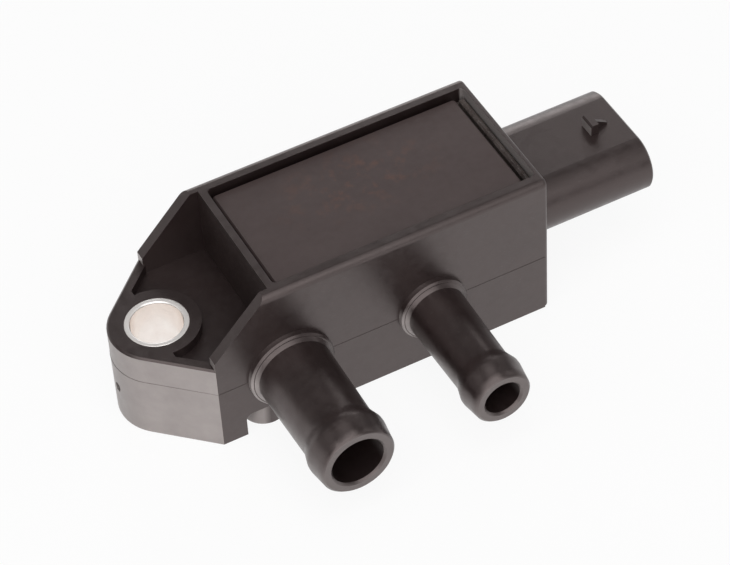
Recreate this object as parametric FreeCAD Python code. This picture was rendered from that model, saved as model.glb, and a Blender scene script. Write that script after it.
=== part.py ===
import FreeCAD, Part
import math
import os

os.makedirs("parts", exist_ok=True)
V = FreeCAD.Vector

# Sizes in millimetres. The origin is the screw axis at the mounting face, +X points to the plug end,
# -Y to the hose nipples and +Z away from the surface that carries the sensor.

# Housing block
BODY_LEFT = 10.9
BODY_RIGHT = 48.3
BODY_HALF_WIDTH = 10.84
BODY_TOP = 21.95
BODY_TOP_ROUND = 0.9
BODY_FOOT_ROUND = 0.35
BODY_END_ROUND = 0.5

# Screw flange
FLANGE_HEIGHT = 13.3
FLANGE_END_RADIUS = 6.1
FLANGE_CORNER_X = 2.62
FLANGE_TOP_BEVEL = 0.25
WEB_DEPTH = 1.4
WEB_LEFT_X = -0.45
WEB_MARGIN = 1.25
BOSS_RADIUS = 5.45
GUSSET_THICKNESS = 1.44
GUSSET_STEP = 1.16
GUSSET_TOP_X = 9.82

# Raised line where the two mould halves meet
PARTING_WIDTH = 0.16
PARTING_HEIGHT = 0.035

# Metal sleeve for the screw
SLEEVE_RADIUS = 4.0
SLEEVE_BORE_RADIUS = 3.3
SLEEVE_EDGE = 0.3
SLEEVE_GROOVE_DEPTH = 0.25
SLEEVE_GROOVE_Z = 5.2
SLEEVE_GROOVE_WIDTH = 2.8

# Recess with a round foot under the front wall
RECESS_LEFT = 5.92
RECESS_RIGHT = 18.7
RECESS_DEPTH_Y = 6.9
RECESS_HEIGHT = 3.45
RECESS_ROUND = 0.9
FOOT_X = 9.6
FOOT_SETBACK = 3.09
FOOT_RADIUS = 2.85

# Cored pockets in the underside
CORE_LEFT = 20.6
CORE_END_WALL = 1.7
CORE_SIDE_WALL = 1.64
CORE_RIB = 1.4
CORE_COLUMNS = 4
CORE_ROWS = 3
CORE_ROOF = 2.18
CORE_BEVEL = 0.5

# Hose nipples: depth of the axis under the chamber floor, and lengths measured from the front wall
NIPPLE_DROP = 3.82
NIPPLE_LENGTH = 17.69
COLLAR_HEIGHT = 0.9
COLLAR_EDGE = 0.25
NIPPLE_ROOT_BEVEL = 0.4
BARB_START = 12.55
BARB_CREST = 14.35
BARB_LAND = 0.5
TIP_BEVEL = 0.3
MOUTH_EDGE = 0.3
BORE_STOP = 1.6
CONE_LENGTH = 1.4

# Wide nipple
WIDE_X = 12.32
WIDE_COLLAR_RADIUS = 5.65
WIDE_ROOT_RADIUS = 4.88
WIDE_NECK_RADIUS = 4.68
WIDE_CREST_RADIUS = 5.2
WIDE_TIP_RADIUS = 4.85
WIDE_BORE_RADIUS = 3.42

# Narrow nipple
NARROW_X = 31.8
NARROW_COLLAR_RADIUS = 4.58
NARROW_ROOT_RADIUS = 3.82
NARROW_NECK_RADIUS = 3.62
NARROW_CREST_RADIUS = 4.14
NARROW_TIP_RADIUS = 3.76
NARROW_BORE_RADIUS = 2.37
NARROW_INNER_RADIUS = 1.5
NARROW_BORE_PAST_DIE = 1.2
NARROW_RISER_RADIUS = 0.9

# Square passage behind the wide nipple, and the shaft from it up into the chamber
PASSAGE_SIZE = 4.3
PASSAGE_DROP = 0.5
PASSAGE_REACH = 6.84
SHAFT_WALL_GAP = 0.1
SHAFT_LENGTH = 4.4
SHAFT_ROUND = 0.5

# Electronics chamber and the seat of the lid
END_WALL_LEFT = 0.95
END_WALL_RIGHT = 0.75
SIDE_WALL = 1.76
SEAT_DEPTH = 2.25
SEAT_ROUND = 0.6
LEDGE_LEFT = 1.55
LEDGE_RIGHT = 2.65
LEDGE_SIDE = 1.38
CHAMBER_DEPTH = 9.15
CHAMBER_ROUND = 1.2
SHELF_LENGTH = 3.6
SHELF_HEIGHT = 1.4

# Lid and its adhesive
LID_GAP_LEFT = 0.47
LID_GAP_RIGHT = 1.5
LID_GAP_SIDE = 0.53
LID_THICKNESS = 1.3
LID_ROUND = 0.45
LID_EDGE = 0.2
GLUE_THICKNESS = 0.15
GLUE_OUTER_GAP = 0.15
BEAD_GAP = 0.55
BEAD_HEIGHT = 1.2
BEAD_EDGE = 0.255
BEAD_END_GAP = 0.55
SKIRT_GAP = 0.25
SKIRT_WALL = 0.8
SKIRT_DEPTH = 1.0
SKIRT_INNER_ROUND = 0.4

# Plug socket: depth of the axis under the chamber floor, and its lengths
SOCKET_DROP = 0.94
SOCKET_LENGTH = 17.01
SOCKET_HALF_WIDTH = 8.03
SOCKET_HALF_HEIGHT = 3.835
SOCKET_WALL = 1.25
SOCKET_DEPTH = 13.31
SOCKET_END_BEVEL = 0.25
SOCKET_MOUTH_EDGE = 0.3
KEY_Y = 3.3
KEY_WIDTH = 0.8
KEY_HEIGHT = 0.55
KEY_SETBACK = 1.2

# Locking nose on the socket
NOSE_SETBACK = 2.26
NOSE_THICKNESS = 1.1
NOSE_HEIGHT = 1.6
NOSE_ROOT = 0.5
NOSE_HALF_WIDTH = 1.15
NOSE_EDGE = 0.25
RAMP_LENGTH = 1.75
RAMP_HALF_WIDTH = 0.25
RAMP_STEP = 0.3
RAMP_TIP_HEIGHT = 0.3

# Terminals
TERMINAL_PITCH = 3.6
TERMINAL_WIDTH = 1.5
TERMINAL_THICKNESS = 0.64
TERMINAL_SETBACK = 4.71
TERMINAL_TIP_EDGE = 0.2
TERMINAL_TIP_TAPER = 0.6
TERMINAL_BEND_COVER = 1.3
TERMINAL_BEND_RADIUS = 0.8
TERMINAL_PAD_GAP = 0.4
TERMINAL_PAD_PROUD = 0.2
ANCHOR_GAP = 1.1
ANCHOR_LENGTH = 1.8
ANCHOR_WIDTH = 2.5

# Circuit board with its adhesive and printed conductors
BOARD_GAP_LEFT = 4.8
BOARD_GAP_RIGHT = 0.9
BOARD_GAP_SIDE = 0.8
BOARD_THICKNESS = 0.64
BOARD_GLUE = 0.15
BOARD_GLUE_INSET = 0.3
BOARD_HOLE_RADIUS = 0.95
GLUE_HOLE_RADIUS = 1.15
CONDUCTOR_THICKNESS = 0.08
TERMINAL_LAND_INSET = 1.1
TERMINAL_LAND_SIZE = 1.3
TRACK_WIDTH = 0.5
TRACK_TURN_INSET = 2.9
TRACK_END_INSET = 8.4
SIDE_TRACK_WIDTH = 0.4
SIDE_TRACK_GAP = 0.075
DIE_LAND_OFFSET = 2.2
DIE_LAND_SIZE = 0.8
DIE_LAND_PITCH = 1.5

# Pressure sensing stack
PEDESTAL_SIZE = 3.2
PEDESTAL_HEIGHT = 1.5
PEDESTAL_BORE_RADIUS = 0.45
DIE_SIZE = 2.6
DIE_THICKNESS = 0.45
DIAPHRAGM_FOOT = 1.5
DIAPHRAGM_TOP = 0.9
DIAPHRAGM_THICKNESS = 0.12
DAM_LENGTH = 9.4
DAM_SIDE_GAP = 2.7
DAM_WALL = 0.7
DAM_HEIGHT = 3.3
DAM_ROUND = 1.4
GEL_HEIGHT = 2.95

# Bond wires
WIRE_STEM = 0.1
WIRE_SIDES = 6
WIRE_STEPS = 6
DIE_WIRE_RADIUS = 0.09
DIE_WIRE_INSET = 0.35
TERMINAL_WIRE_RADIUS = 0.15
TERMINAL_WIRE_INSET = 0.5

# Signal chip
CHIP_INSET_X = 4.9
CHIP_INSET_Y = 4.7
CHIP_SIZE = 5.0
CHIP_STANDOFF = 0.15
CHIP_HEIGHT = 1.4
CHIP_EDGE = 0.3
LEAD_PITCH = 1.27
LEAD_WIDTH = 0.45
LEAD_THICKNESS = 0.2
LEAD_FOOT = 0.6
LEAD_SHOULDER = 0.35
LEADS_PER_SIDE = 4

# Small passive parts: distance from the left end of the board, and side of the board
PASSIVE_LENGTH = 2.0
PASSIVE_WIDTH = 1.25
PASSIVE_INSET = 1.2
PASSIVE_BEVEL = 0.1
CAPACITOR_HEIGHT = 1.1
RESISTOR_HEIGHT = 0.6
CAPACITORS = (
    ("capacitor_supply", 1.6, -1),
    ("capacitor_signal", 5.2, -1),
    ("capacitor_ground", 11.0, 1),
    ("capacitor_chip", 16.2, 1),
)
RESISTORS = (
    ("resistor_bridge", 11.0, -1),
    ("resistor_output", 16.2, -1),
)

# How far cutting shapes reach past the faces they open
CUT_MARGIN = 1.0

# Sizes that follow from the ones above
SEAT_Z = BODY_TOP - SEAT_DEPTH
SEAT_LEFT = BODY_LEFT + END_WALL_LEFT
SEAT_RIGHT = BODY_RIGHT - END_WALL_RIGHT
SEAT_HALF_WIDTH = BODY_HALF_WIDTH - SIDE_WALL
CHAMBER_FLOOR = BODY_TOP - CHAMBER_DEPTH
CHAMBER_LEFT = SEAT_LEFT + LEDGE_LEFT
CHAMBER_RIGHT = SEAT_RIGHT - LEDGE_RIGHT
CHAMBER_HALF_WIDTH = SEAT_HALF_WIDTH - LEDGE_SIDE
SHELF_LEFT = CHAMBER_RIGHT - SHELF_LENGTH
SHELF_Z = CHAMBER_FLOOR + SHELF_HEIGHT
LID_LEFT = SEAT_LEFT + LID_GAP_LEFT
LID_RIGHT = SEAT_RIGHT - LID_GAP_RIGHT
LID_HALF_WIDTH = SEAT_HALF_WIDTH - LID_GAP_SIDE
BEAD_LEFT = LID_RIGHT + BEAD_GAP
BEAD_RIGHT = SEAT_RIGHT - GLUE_OUTER_GAP
WEB_FLOOR_Z = FLANGE_HEIGHT - WEB_DEPTH
GUSSET_FOOT_Z = FLANGE_HEIGHT + GUSSET_STEP
FOOT_Y = FOOT_SETBACK - BODY_HALF_WIDTH
FRONT_WALL_Y = -BODY_HALF_WIDTH
NIPPLE_Z = CHAMBER_FLOOR - NIPPLE_DROP
NIPPLE_TIP_Y = FRONT_WALL_Y - NIPPLE_LENGTH
BORE_STOP_Y = FRONT_WALL_Y - BORE_STOP
PARTING_Z = NIPPLE_Z
PASSAGE_Z = NIPPLE_Z - PASSAGE_DROP
SHAFT_LEFT = CHAMBER_LEFT + SHAFT_WALL_GAP
SHAFT_FRONT = SHAFT_WALL_GAP - CHAMBER_HALF_WIDTH
CORE_RIGHT = BODY_RIGHT - CORE_END_WALL
CORE_HALF_WIDTH = BODY_HALF_WIDTH - CORE_SIDE_WALL
CORE_DEPTH = NIPPLE_Z - NARROW_INNER_RADIUS - CORE_ROOF
SOCKET_Z = CHAMBER_FLOOR - SOCKET_DROP
SOCKET_END_X = BODY_RIGHT + SOCKET_LENGTH
SOCKET_FLOOR_X = SOCKET_END_X - SOCKET_DEPTH
NOSE_END_X = SOCKET_END_X - NOSE_SETBACK
NOSE_BACK_X = NOSE_END_X - RAMP_LENGTH
NOSE_LEFT_X = NOSE_BACK_X - NOSE_THICKNESS
TERMINAL_TIP_X = SOCKET_END_X - TERMINAL_SETBACK
TERMINAL_BEND_X = BODY_RIGHT - TERMINAL_BEND_COVER
TERMINAL_PAD_X = SHELF_LEFT + TERMINAL_PAD_GAP
ANCHOR_LEFT = BODY_RIGHT + ANCHOR_GAP
BOARD_LEFT = CHAMBER_LEFT + BOARD_GAP_LEFT
BOARD_RIGHT = SHELF_LEFT - BOARD_GAP_RIGHT
BOARD_HALF_WIDTH = CHAMBER_HALF_WIDTH - BOARD_GAP_SIDE
TERMINAL_LAND_X = BOARD_RIGHT - TERMINAL_LAND_INSET
TRACK_TURN_X = BOARD_RIGHT - TRACK_TURN_INSET
TRACK_END_X = BOARD_LEFT + TRACK_END_INSET
DAM_WIDTH = 2 * (BOARD_HALF_WIDTH - DAM_SIDE_GAP)
CHIP_X = BOARD_LEFT + CHIP_INSET_X
CHIP_Y = BOARD_HALF_WIDTH - CHIP_INSET_Y
PASSIVE_Y = BOARD_HALF_WIDTH - PASSIVE_INSET
BOARD_FOOT = CHAMBER_FLOOR + BOARD_GLUE
BOARD_TOP = BOARD_FOOT + BOARD_THICKNESS
LAND_TOP = BOARD_TOP + CONDUCTOR_THICKNESS
DIE_FOOT = BOARD_TOP + PEDESTAL_HEIGHT
DIE_TOP = DIE_FOOT + DIE_THICKNESS
LID_FOOT = SEAT_Z + GLUE_THICKNESS
TERMINAL_PAD_TOP = SHELF_Z + TERMINAL_PAD_PROUD
TERMINAL_PAD_Z = TERMINAL_PAD_TOP - TERMINAL_THICKNESS / 2
TERMINALS = (
    ("terminal_supply", -TERMINAL_PITCH),
    ("terminal_signal", 0.0),
    ("terminal_ground", TERMINAL_PITCH),
)
WIDE_PROFILE = (WIDE_COLLAR_RADIUS, WIDE_ROOT_RADIUS, WIDE_NECK_RADIUS, WIDE_CREST_RADIUS, WIDE_TIP_RADIUS)
NARROW_PROFILE = (
    NARROW_COLLAR_RADIUS, NARROW_ROOT_RADIUS, NARROW_NECK_RADIUS, NARROW_CREST_RADIUS, NARROW_TIP_RADIUS,
)


def block(x0, x1, y0, y1, z0, z1):
    """Box between two corners."""
    return Part.makeBox(x1 - x0, y1 - y0, z1 - z0, V(x0, y0, z0))


def centred_block(x, y, length, width, z0, z1):
    """Box centred on x, y."""
    return block(x - length / 2, x + length / 2, y - width / 2, y + width / 2, z0, z1)


def prism(points, direction):
    """Closed polygon pushed along a direction."""
    wire = Part.makePolygon(points + [points[0]])
    return Part.Face(wire).extrude(direction)


def upright_edges(shape):
    """Edges that rise along Z."""
    return [e for e in shape.Edges if abs(e.Vertexes[0].Z - e.Vertexes[1].Z) > 1e-6]


def rounded_plate(x0, x1, y0, y1, z0, z1, radius):
    """Plate with four rounded upright edges."""
    plate = block(x0, x1, y0, y1, z0, z1)
    return plate.makeFillet(radius, upright_edges(plate))


def edges_at(shape, axis, value):
    """Edges that lie whole in one plane across an axis."""
    box = {"x": ("XMin", "XMax"), "y": ("YMin", "YMax"), "z": ("ZMin", "ZMax")}[axis]
    found = []
    for edge in shape.Edges:
        low = getattr(edge.BoundBox, box[0])
        high = getattr(edge.BoundBox, box[1])
        if abs(low - value) < 1e-4 and abs(high - value) < 1e-4:
            found.append(edge)
    return found


def stadium(half_width, half_height, x0, x1):
    """Bar with half-round sides along X on the socket axis."""
    straight = half_width - half_height
    top = SOCKET_Z + half_height
    foot = SOCKET_Z - half_height
    edges = [
        Part.LineSegment(V(x0, -straight, foot), V(x0, straight, foot)).toShape(),
        Part.Arc(V(x0, straight, foot), V(x0, half_width, SOCKET_Z), V(x0, straight, top)).toShape(),
        Part.LineSegment(V(x0, straight, top), V(x0, -straight, top)).toShape(),
        Part.Arc(V(x0, -straight, top), V(x0, -half_width, SOCKET_Z), V(x0, -straight, foot)).toShape(),
    ]
    return Part.Face(Part.Wire(edges)).extrude(V(x1 - x0, 0, 0))


def flange_outline(grow):
    """Plan of flange and block as a face at height zero, grown by a margin."""
    radius = FLANGE_END_RADIUS + grow
    corner_y = BODY_HALF_WIDTH + grow
    reach = math.hypot(FLANGE_CORNER_X, corner_y)
    angle = math.atan2(corner_y, FLANGE_CORNER_X) + math.acos(radius / reach)
    tx = radius * math.cos(angle)
    ty = radius * math.sin(angle)
    right = BODY_RIGHT - BODY_END_ROUND
    edges = [
        Part.LineSegment(V(right, -corner_y, 0), V(right, corner_y, 0)).toShape(),
        Part.LineSegment(V(right, corner_y, 0), V(FLANGE_CORNER_X, corner_y, 0)).toShape(),
        Part.LineSegment(V(FLANGE_CORNER_X, corner_y, 0), V(tx, ty, 0)).toShape(),
        Part.Arc(V(tx, ty, 0), V(-radius, 0, 0), V(tx, -ty, 0)).toShape(),
        Part.LineSegment(V(tx, -ty, 0), V(FLANGE_CORNER_X, -corner_y, 0)).toShape(),
        Part.LineSegment(V(FLANGE_CORNER_X, -corner_y, 0), V(right, -corner_y, 0)).toShape(),
    ]
    return Part.Face(Part.Wire(edges))


def block_section():
    """Cross-section of the block with rounded top edges, at the flange corner."""
    half = BODY_HALF_WIDTH
    x = FLANGE_CORNER_X
    bar = block(x, BODY_RIGHT, -half, half, 0, BODY_TOP)
    long_edges = [e for e in bar.Edges if abs(e.BoundBox.XLength - (BODY_RIGHT - x)) < 1e-6]
    top = [e for e in long_edges if e.BoundBox.ZMin > FLANGE_HEIGHT]
    bar = bar.makeFillet(BODY_TOP_ROUND, top)
    foot = [e for e in bar.Edges if abs(e.BoundBox.ZMax) < 1e-6 and e.BoundBox.XLength > 1]
    return bar.makeFillet(BODY_FOOT_ROUND, foot)


def outer_block():
    """Block with both gussets, still solid."""
    start = BODY_HALF_WIDTH + CUT_MARGIN
    side = [
        V(FLANGE_CORNER_X, -start, 0),
        V(BODY_RIGHT, -start, 0),
        V(BODY_RIGHT, -start, BODY_TOP),
        V(GUSSET_TOP_X, -start, BODY_TOP),
        V(FLANGE_CORNER_X, -start, GUSSET_FOOT_Z),
    ]
    shape = block_section()
    shape = shape.makeFillet(BODY_END_ROUND, edges_at(shape, "x", BODY_RIGHT))
    shape = shape.common(prism(side, V(0, 2 * start, 0)))
    inner = BODY_HALF_WIDTH - GUSSET_THICKNESS
    gap = block(FLANGE_CORNER_X - CUT_MARGIN, BODY_LEFT, -inner, inner, FLANGE_HEIGHT, BODY_TOP + CUT_MARGIN)
    return shape.cut(gap)


def flange():
    """Screw flange with a bevelled upper edge round its free end."""
    shape = flange_outline(0).extrude(V(0, 0, FLANGE_HEIGHT))
    rim = []
    for edge in edges_at(shape, "z", FLANGE_HEIGHT):
        if edge.BoundBox.XMax < FLANGE_CORNER_X + 0.01 and edge.BoundBox.XLength > 0.1:
            rim.append(edge)
    return shape.makeChamfer(FLANGE_TOP_BEVEL, rim)


def web_pocket():
    """Pocket in the flange between boss and gussets."""
    reach = math.hypot(FLANGE_CORNER_X, BODY_HALF_WIDTH)
    angle = math.atan2(BODY_HALF_WIDTH, FLANGE_CORNER_X) + math.acos(FLANGE_END_RADIUS / reach)
    inset = FLANGE_END_RADIUS - WEB_MARGIN
    inner = BODY_HALF_WIDTH - GUSSET_THICKNESS
    left_y = (inset - WEB_LEFT_X * math.cos(angle)) / math.sin(angle)
    corner_x = (inset - inner * math.sin(angle)) / math.cos(angle)
    upper = [V(BODY_LEFT, inner, 0), V(corner_x, inner, 0), V(WEB_LEFT_X, left_y, 0)]
    lower = [V(p.x, -p.y, 0) for p in reversed(upper)]
    region = prism(upper + lower, V(0, 0, WEB_DEPTH + CUT_MARGIN))
    region.translate(V(0, 0, WEB_FLOOR_Z))
    boss = Part.makeCylinder(BOSS_RADIUS, FLANGE_HEIGHT + 2 * CUT_MARGIN)
    return region.cut(boss)


def foot_recess():
    """Recess in the underside that leaves a round foot standing."""
    front = FRONT_WALL_Y - CUT_MARGIN
    back = FRONT_WALL_Y + RECESS_DEPTH_Y
    hollow = block(RECESS_LEFT, RECESS_RIGHT, front, back, -CUT_MARGIN, RECESS_HEIGHT)
    top = [e for e in edges_at(hollow, "z", RECESS_HEIGHT) if e.BoundBox.YLength > RECESS_ROUND]
    hollow = hollow.makeFillet(RECESS_ROUND, top)
    foot = Part.makeCylinder(FOOT_RADIUS, RECESS_HEIGHT + 2 * CUT_MARGIN, V(FOOT_X, FOOT_Y, -CUT_MARGIN))
    return hollow.cut(foot)


def underside_cores():
    """Grid of pockets that keeps the walls of the block even."""
    length = (CORE_RIGHT - CORE_LEFT - CORE_RIB * (CORE_COLUMNS - 1)) / CORE_COLUMNS
    width = (2 * CORE_HALF_WIDTH - CORE_RIB * (CORE_ROWS - 1)) / CORE_ROWS
    cores = []
    for column in range(CORE_COLUMNS):
        for row in range(CORE_ROWS):
            x0 = CORE_LEFT + column * (length + CORE_RIB)
            y0 = -CORE_HALF_WIDTH + row * (width + CORE_RIB)
            core = block(x0, x0 + length, y0, y0 + width, -CUT_MARGIN, CORE_DEPTH)
            cores.append(core.makeChamfer(CORE_BEVEL, upright_edges(core)))
    return cores


def turned(points, axis_x):
    """Closed outline of radius and Y turned about a nipple axis."""
    outline = [V(axis_x + radius, y, NIPPLE_Z) for radius, y in points]
    wire = Part.makePolygon(outline + [outline[0]])
    return Part.Face(wire).revolve(V(axis_x, 0, NIPPLE_Z), V(0, 1, 0), 360)


def nipple(axis_x, profile):
    """Hose nipple with collar, tapered tube and one barb, without its bore."""
    collar, root, neck, crest, tip = profile
    wall = FRONT_WALL_Y
    face = wall - COLLAR_HEIGHT
    points = [
        (0, wall + CUT_MARGIN),
        (collar, wall + CUT_MARGIN),
        (collar, face + COLLAR_EDGE),
        (collar - COLLAR_EDGE, face),
        (root + NIPPLE_ROOT_BEVEL, face),
        (root, face - NIPPLE_ROOT_BEVEL),
        (neck, wall - BARB_START),
        (crest, wall - BARB_CREST),
        (crest, wall - BARB_CREST - BARB_LAND),
        (tip, NIPPLE_TIP_Y + TIP_BEVEL),
        (tip - TIP_BEVEL, NIPPLE_TIP_Y),
        (0, NIPPLE_TIP_Y),
    ]
    return turned(points, axis_x)


def nipple_bore(axis_x, radius, tail):
    """Bore of a nipple with a flared mouth; the tail lists radius and Y of its inner end."""
    start = NIPPLE_TIP_Y - CUT_MARGIN
    points = [
        (0, start),
        (radius + MOUTH_EDGE + CUT_MARGIN, start),
        (radius, NIPPLE_TIP_Y + MOUTH_EDGE),
        (radius, BORE_STOP_Y),
    ]
    return turned(points + tail, axis_x)


def wide_passage():
    """Way of the gas from the wide nipple: round bore, square passage and shaft to the chamber."""
    half = PASSAGE_SIZE / 2
    foot = PASSAGE_Z - half
    bore = nipple_bore(WIDE_X, WIDE_BORE_RADIUS, [(0, BORE_STOP_Y)])
    passage = block(WIDE_X - half, WIDE_X + half, BORE_STOP_Y - CUT_MARGIN, FRONT_WALL_Y + PASSAGE_REACH,
                    foot, foot + PASSAGE_SIZE)
    shaft = rounded_plate(SHAFT_LEFT, SHAFT_LEFT + SHAFT_LENGTH, SHAFT_FRONT, SHAFT_FRONT + SHAFT_LENGTH,
                          foot, CHAMBER_FLOOR + CUT_MARGIN, SHAFT_ROUND)
    return [bore, passage, shaft]


def narrow_passage():
    """Way of the gas from the narrow nipple: stepped bore and riser under the sensing die."""
    inside = NARROW_INNER_RADIUS
    end = NARROW_BORE_PAST_DIE
    tail = [(inside, BORE_STOP_Y + CONE_LENGTH), (inside, end), (0, end + inside / 2)]
    height = CHAMBER_FLOOR + CUT_MARGIN - NIPPLE_Z
    riser = Part.makeCylinder(NARROW_RISER_RADIUS, height, V(NARROW_X, 0, NIPPLE_Z))
    return [nipple_bore(NARROW_X, NARROW_BORE_RADIUS, tail), riser]


def chamber():
    """Hollow above the passages: lid seat, chamber and terminal shelf."""
    top = BODY_TOP + CUT_MARGIN
    seat = rounded_plate(SEAT_LEFT, SEAT_RIGHT, -SEAT_HALF_WIDTH, SEAT_HALF_WIDTH, SEAT_Z, top, SEAT_ROUND)
    half = CHAMBER_HALF_WIDTH
    upper = rounded_plate(CHAMBER_LEFT, CHAMBER_RIGHT, -half, half, SHELF_Z, top, CHAMBER_ROUND)
    lower = rounded_plate(CHAMBER_LEFT, SHELF_LEFT, -half, half, CHAMBER_FLOOR, top, CHAMBER_ROUND)
    return [seat, upper, lower]


def plug_socket():
    """Oval socket with coding ribs, open at its far end."""
    shape = stadium(SOCKET_HALF_WIDTH, SOCKET_HALF_HEIGHT, BODY_RIGHT - CUT_MARGIN, SOCKET_END_X)
    shape = shape.makeChamfer(SOCKET_END_BEVEL, edges_at(shape, "x", SOCKET_END_X))
    half_width = SOCKET_HALF_WIDTH - SOCKET_WALL
    half_height = SOCKET_HALF_HEIGHT - SOCKET_WALL
    shape = shape.cut(stadium(half_width, half_height, SOCKET_FLOOR_X, SOCKET_END_X + CUT_MARGIN))
    mouth = [e for e in edges_at(shape, "x", SOCKET_END_X) if e.BoundBox.ZMax < SOCKET_Z + half_height + 0.01]
    mouth = [e for e in mouth if e.BoundBox.ZMin > SOCKET_Z - half_height - 0.01]
    shape = shape.makeChamfer(SOCKET_MOUTH_EDGE, mouth)
    ceiling = SOCKET_Z + half_height
    rib_length = SOCKET_END_X - KEY_SETBACK - SOCKET_FLOOR_X
    rib_x = SOCKET_FLOOR_X + rib_length / 2
    for y in (-KEY_Y, KEY_Y):
        rib = centred_block(rib_x, y, rib_length, KEY_WIDTH, ceiling - KEY_HEIGHT, ceiling + SOCKET_WALL / 2)
        shape = shape.fuse(rib)
    return shape


def locking_nose():
    """Upright catch on the socket: a plate across it and a ramp rib down to the plug."""
    top = SOCKET_Z + SOCKET_HALF_HEIGHT
    foot = top - NOSE_ROOT
    crest = top + NOSE_HEIGHT
    plate = block(NOSE_LEFT_X, NOSE_BACK_X, -NOSE_HALF_WIDTH, NOSE_HALF_WIDTH, foot, crest)
    front = [edge for edge in edges_at(plate, "z", crest) if edge.BoundBox.XMax < NOSE_BACK_X]
    plate = plate.makeChamfer(NOSE_EDGE, front)
    side = [
        V(NOSE_LEFT_X + NOSE_EDGE, -RAMP_HALF_WIDTH, foot),
        V(NOSE_LEFT_X + NOSE_EDGE, -RAMP_HALF_WIDTH, crest - RAMP_STEP),
        V(NOSE_BACK_X, -RAMP_HALF_WIDTH, crest - RAMP_STEP),
        V(NOSE_END_X, -RAMP_HALF_WIDTH, top + RAMP_TIP_HEIGHT),
        V(NOSE_END_X, -RAMP_HALF_WIDTH, foot),
    ]
    return plate.fuse(prism(side, V(0, 2 * RAMP_HALF_WIDTH, 0))).removeSplitter()


def sleeve():
    """Metal sleeve that carries the clamping force of the screw."""
    r_out = SLEEVE_RADIUS
    r_in = SLEEVE_BORE_RADIUS
    groove = r_out - SLEEVE_GROOVE_DEPTH
    points = [
        (r_in, 0),
        (r_out, 0),
        (r_out, SLEEVE_GROOVE_Z),
        (groove, SLEEVE_GROOVE_Z + SLEEVE_GROOVE_DEPTH),
        (groove, SLEEVE_GROOVE_Z + SLEEVE_GROOVE_WIDTH - SLEEVE_GROOVE_DEPTH),
        (r_out, SLEEVE_GROOVE_Z + SLEEVE_GROOVE_WIDTH),
        (r_out, FLANGE_HEIGHT),
        (r_in + SLEEVE_EDGE, FLANGE_HEIGHT),
        (r_in, FLANGE_HEIGHT - SLEEVE_EDGE),
    ]
    outline = [V(radius, 0, z) for radius, z in points]
    face = Part.Face(Part.makePolygon(outline + [outline[0]]))
    return face.revolve(V(0, 0, 0), V(0, 0, 1), 360)


def bent_strip():
    """Side view of a terminal: blade, upward bend, bend back and bonding pad."""
    half = TERMINAL_THICKNESS / 2
    outer = TERMINAL_BEND_RADIUS + half
    inner = TERMINAL_BEND_RADIUS - half
    low = SOCKET_Z
    high = TERMINAL_PAD_Z
    x = TERMINAL_BEND_X
    lower_centre = V(x + TERMINAL_BEND_RADIUS, 0, low + TERMINAL_BEND_RADIUS)
    upper_centre = V(x - TERMINAL_BEND_RADIUS, 0, high - TERMINAL_BEND_RADIUS)

    def at(centre, radius, degrees):
        turn = math.radians(degrees)
        return centre + V(radius * math.cos(turn), 0, radius * math.sin(turn))

    def line(start, end):
        return Part.LineSegment(start, end).toShape()

    def arc(centre, radius, start, end):
        middle = at(centre, radius, (start + end) / 2)
        return Part.Arc(at(centre, radius, start), middle, at(centre, radius, end)).toShape()

    tip = TERMINAL_TIP_X
    pad = TERMINAL_PAD_X
    edge = TERMINAL_TIP_EDGE
    taper = tip - TERMINAL_TIP_TAPER
    edges = [
        line(V(tip, 0, low - half + edge), V(taper, 0, low - half)),
        line(V(taper, 0, low - half), at(lower_centre, outer, 270)),
        arc(lower_centre, outer, 270, 180),
        line(at(lower_centre, outer, 180), at(upper_centre, inner, 0)),
        arc(upper_centre, inner, 0, 90),
        line(at(upper_centre, inner, 90), V(pad, 0, high - half)),
        line(V(pad, 0, high - half), V(pad, 0, high + half)),
        line(V(pad, 0, high + half), at(upper_centre, outer, 90)),
        arc(upper_centre, outer, 90, 0),
        line(at(upper_centre, outer, 0), at(lower_centre, inner, 180)),
        arc(lower_centre, inner, 180, 270),
        line(at(lower_centre, inner, 270), V(taper, 0, low + half)),
        line(V(taper, 0, low + half), V(tip, 0, low + half - edge)),
        line(V(tip, 0, low + half - edge), V(tip, 0, low - half + edge)),
    ]
    return Part.Face(Part.Wire(Part.__sortEdges__(edges)))


def terminal(y):
    """One flat terminal with shoulders that anchor it in the moulding."""
    half = TERMINAL_THICKNESS / 2
    strip = bent_strip().extrude(V(0, TERMINAL_WIDTH, 0))
    strip.translate(V(0, y - TERMINAL_WIDTH / 2, 0))
    anchor = block(ANCHOR_LEFT, ANCHOR_LEFT + ANCHOR_LENGTH, y - ANCHOR_WIDTH / 2, y + ANCHOR_WIDTH / 2,
                   SOCKET_Z - half, SOCKET_Z + half)
    return strip.fuse(anchor).removeSplitter()


def housing(inserts):
    """The one-piece moulding, with the inserts left out of its material."""
    ridge = flange_outline(PARTING_HEIGHT).extrude(V(0, 0, PARTING_WIDTH))
    ridge.translate(V(0, 0, PARTING_Z - PARTING_WIDTH / 2))
    wide = nipple(WIDE_X, WIDE_PROFILE)
    narrow = nipple(NARROW_X, NARROW_PROFILE)
    shape = outer_block().fuse([flange(), ridge, wide, narrow, plug_socket(), locking_nose()])
    hollows = chamber() + wide_passage() + narrow_passage() + underside_cores()
    hollows += [web_pocket(), foot_recess()]
    screw_way = Part.makeCylinder(SLEEVE_BORE_RADIUS + SLEEVE_EDGE, FLANGE_HEIGHT + 2 * CUT_MARGIN,
                                  V(0, 0, -CUT_MARGIN))
    sleeve_hole = inserts[0].fuse(screw_way)
    shape = shape.cut(hollows + [sleeve_hole] + inserts[1:])
    return shape.removeSplitter()


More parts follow.
